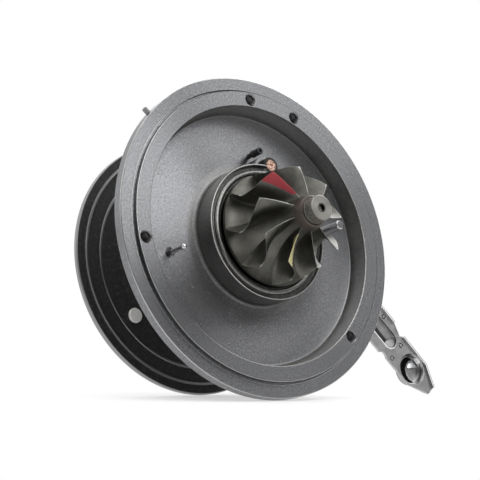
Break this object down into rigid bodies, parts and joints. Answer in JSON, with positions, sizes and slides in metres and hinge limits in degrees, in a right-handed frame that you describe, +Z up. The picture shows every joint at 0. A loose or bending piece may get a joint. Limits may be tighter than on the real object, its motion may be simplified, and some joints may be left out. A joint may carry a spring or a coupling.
{
  "type": "turbocharger cartridge",
  "caption": "Turbocharger core: round seal plate with a recessed face and bladed compressor wheel, iron bearing housing with a wide turbine flange, and a crank lever with a ball link.",
  "frame": {"origin": "on the rotor axis, in the front face of the seal plate's locating ring", "axes": "-Y along the rotor axis out of the compressor face, +Y to the turbine, +Z up through the oil inlet, +X to the right seen from the compressor"},
  "size_m": [0.1988, 0.136, 0.15],
  "materials": {
    "machined_plate": "turned and fine-blasted, satin",
    "cast_housing": "dark sand-cast iron with bright machined ridges",
    "fastener_steel": "phosphated screws",
    "seal_rubber": "smooth rubber",
    "pin_steel": "ground pins",
    "black_plastic": "moulded black",
    "copper_plug": "copper-coloured turned face",
    "pale_pin": "bare machined end face",
    "bearing_bronze": "bearing bronze",
    "sheet_steel": "rolled sheet",
    "ring_iron": "piston ring iron",
    "ground_steel": "turned and ground steel",
    "turbine_alloy": "investment-cast heat-resistant alloy",
    "milled_alloy": "dark milled alloy with bright blade edges",
    "lever_steel": "blanked steel",
    "ball_steel": "polished ball",
    "plated_sheet": "bright plated sheet",
    "spring_steel": "spring strip"
  },
  "bodies": {
    "housing": {"seal_plate": "machined_plate", "bearing_housing": "cast_housing", "plate_screws": "fastener_steel", "plate_seal_ring": "seal_rubber", "rim_pin": "pin_steel", "headed_pin": "pin_steel", "dowel_pin": "pin_steel", "black_stud": "black_plastic", "boss_plug": "copper_plug", "flange_pin": "pale_pin", "thrust_bearing": "bearing_bronze", "oil_baffle": "sheet_steel", "journal_bearing": "bearing_bronze", "bearing_pin": "pin_steel", "heat_shield": "sheet_steel", "compressor_seal_ring": "ring_iron", "turbine_seal_ring": "ring_iron", "crank_bush": "pin_steel"},
    "rotor": {"shaft": "ground_steel", "turbine_wheel": "turbine_alloy", "compressor_wheel": "milled_alloy", "thrust_collar": "ground_steel", "oil_flinger": "ground_steel", "nose_nut": "ground_steel"},
    "crank": {"crank_shaft": "pin_steel", "inner_arm": "lever_steel", "lever_arm": "lever_steel", "ball_stud": "ball_steel"},
    "link": {"link_front_sheet": "plated_sheet", "link_rear_sheet": "plated_sheet", "near_socket_clip": "spring_steel", "far_socket_clip": "spring_steel"}
  },
  "joints": [
    {"name": "rotor_spin", "type": "hinge", "parent": "housing", "child": "rotor", "pos_m": [0, 0, 0], "axis": [0, -1, 0], "continuous": true},
    {"name": "crank_turn", "type": "hinge", "parent": "housing", "child": "crank", "pos_m": [0.04604, 0.0473, -0.01898], "axis": [0, -1, 0], "range_deg": [-22, 22]},
    {"name": "link_swing", "type": "hinge", "parent": "crank", "child": "link", "pos_m": [0.06596, 0.0406, -0.00227], "axis": [0, -1, 0], "range_deg": [-25, 25]}
  ]
}
